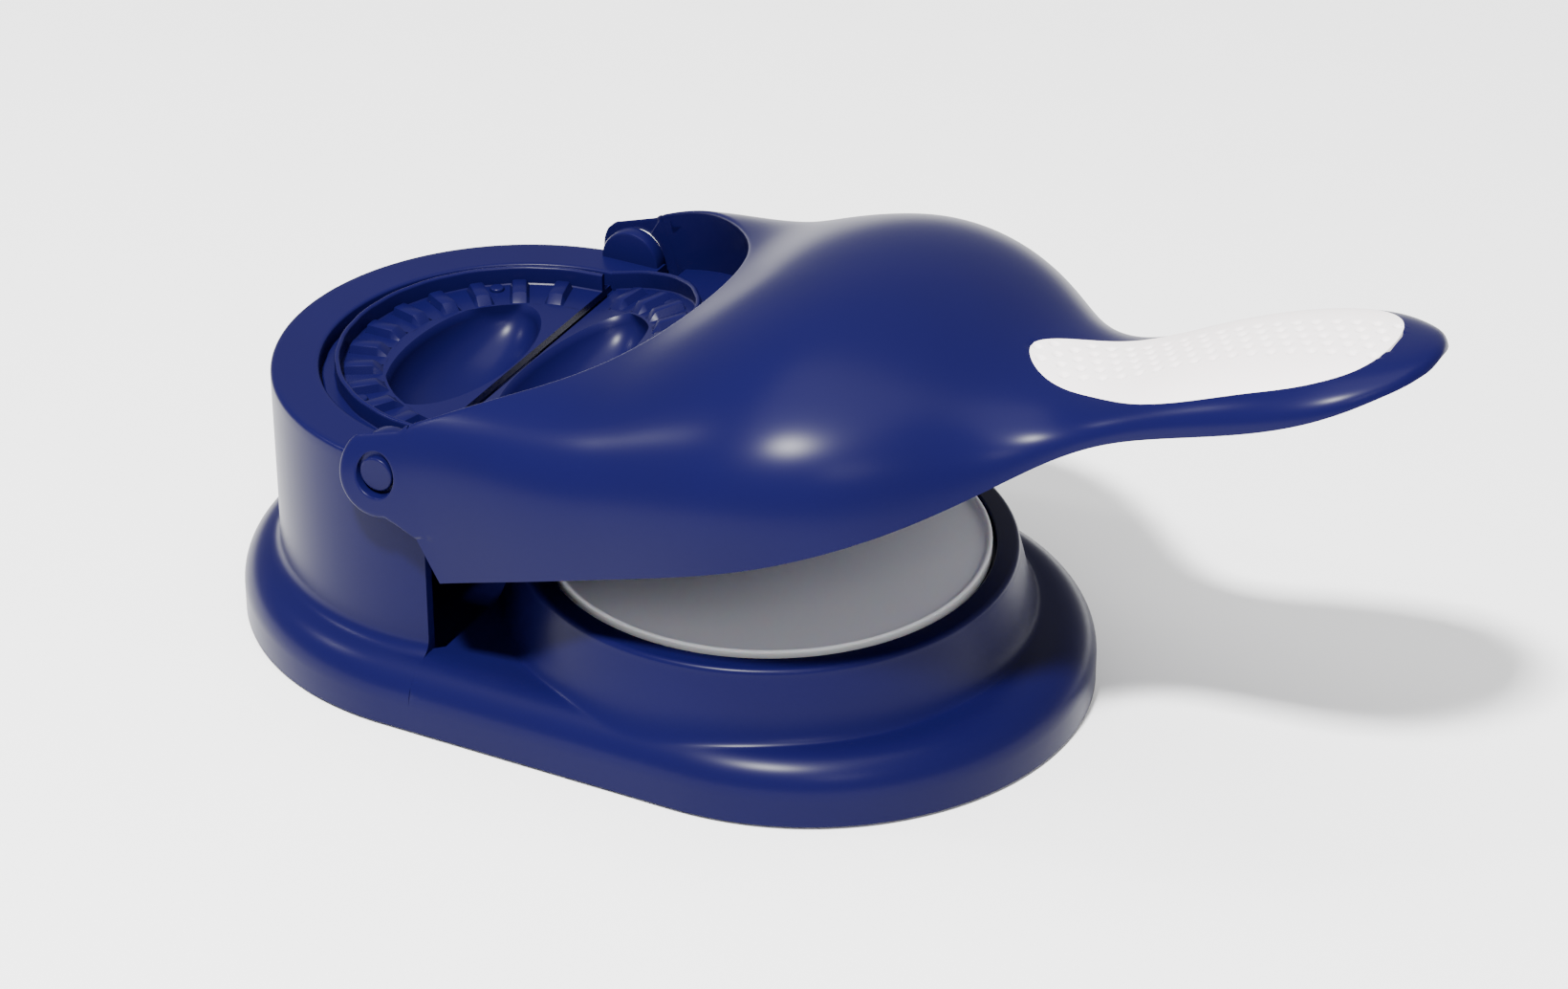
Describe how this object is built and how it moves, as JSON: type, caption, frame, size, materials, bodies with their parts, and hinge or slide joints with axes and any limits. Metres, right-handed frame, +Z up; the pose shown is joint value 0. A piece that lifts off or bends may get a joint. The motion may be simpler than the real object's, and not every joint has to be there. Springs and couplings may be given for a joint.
{
  "type": "empanada press",
  "caption": "Hand press for empanadas and dumplings: a round dough table under a hinged hood with a grip, and a toothed folding mould at the hinge.",
  "frame": {"origin": "middle of the press's length and width at rest, on the plane that its feet rest on", "axes": "+X towards the grip, along the press; +Y across it, parallel to the hinge axis; +Z up"},
  "size_m": [0.2818, 0.1314, 0.1172],
  "materials": {
    "blue_shell": "satin gloss navy-blue moulded plastic",
    "blue_inner": "fine matt navy-blue moulded plastic",
    "plate_blue": "satin navy-blue moulded plastic",
    "pad_white": "smooth matt white plastic",
    "grip_white": "soft white rubber with rows of small dimples",
    "bearing_white": "natural white bearing plastic",
    "foot_rubber": "dark grey rubber",
    "steel": "plain bright steel"
  },
  "bodies": {
    "base": {"base_shell": "blue_shell", "base_cover": "blue_inner", "base_cover_screws": "steel", "foot_front_near": "foot_rubber", "foot_front_far": "foot_rubber", "foot_rear_near": "foot_rubber", "foot_rear_far": "foot_rubber", "dough_pad": "pad_white", "rear_mould_leaf": "blue_shell", "rear_leaf_screws": "steel", "pivot_bush_near": "bearing_white", "pivot_bush_far": "bearing_white"},
    "handle": {"handle_shell": "blue_shell", "hood_cover": "blue_inner", "hood_cover_screws": "steel", "grip_cover": "blue_inner", "grip_cover_screws": "steel", "grip_pad": "grip_white", "press_plate": "plate_blue", "press_plate_screws": "steel", "front_mould_leaf": "blue_shell", "front_leaf_screws": "steel", "pivot_pin_near": "steel", "pivot_pin_far": "steel", "pivot_washer_near": "bearing_white", "pivot_washer_far": "bearing_white"}
  },
  "joints": [
    {"name": "handle_hinge", "type": "hinge", "parent": "base", "child": "handle", "pos_m": [-0.076, 0, 0.062], "axis": [0, -1, 0], "range_deg": [-18, 162]}
  ]
}
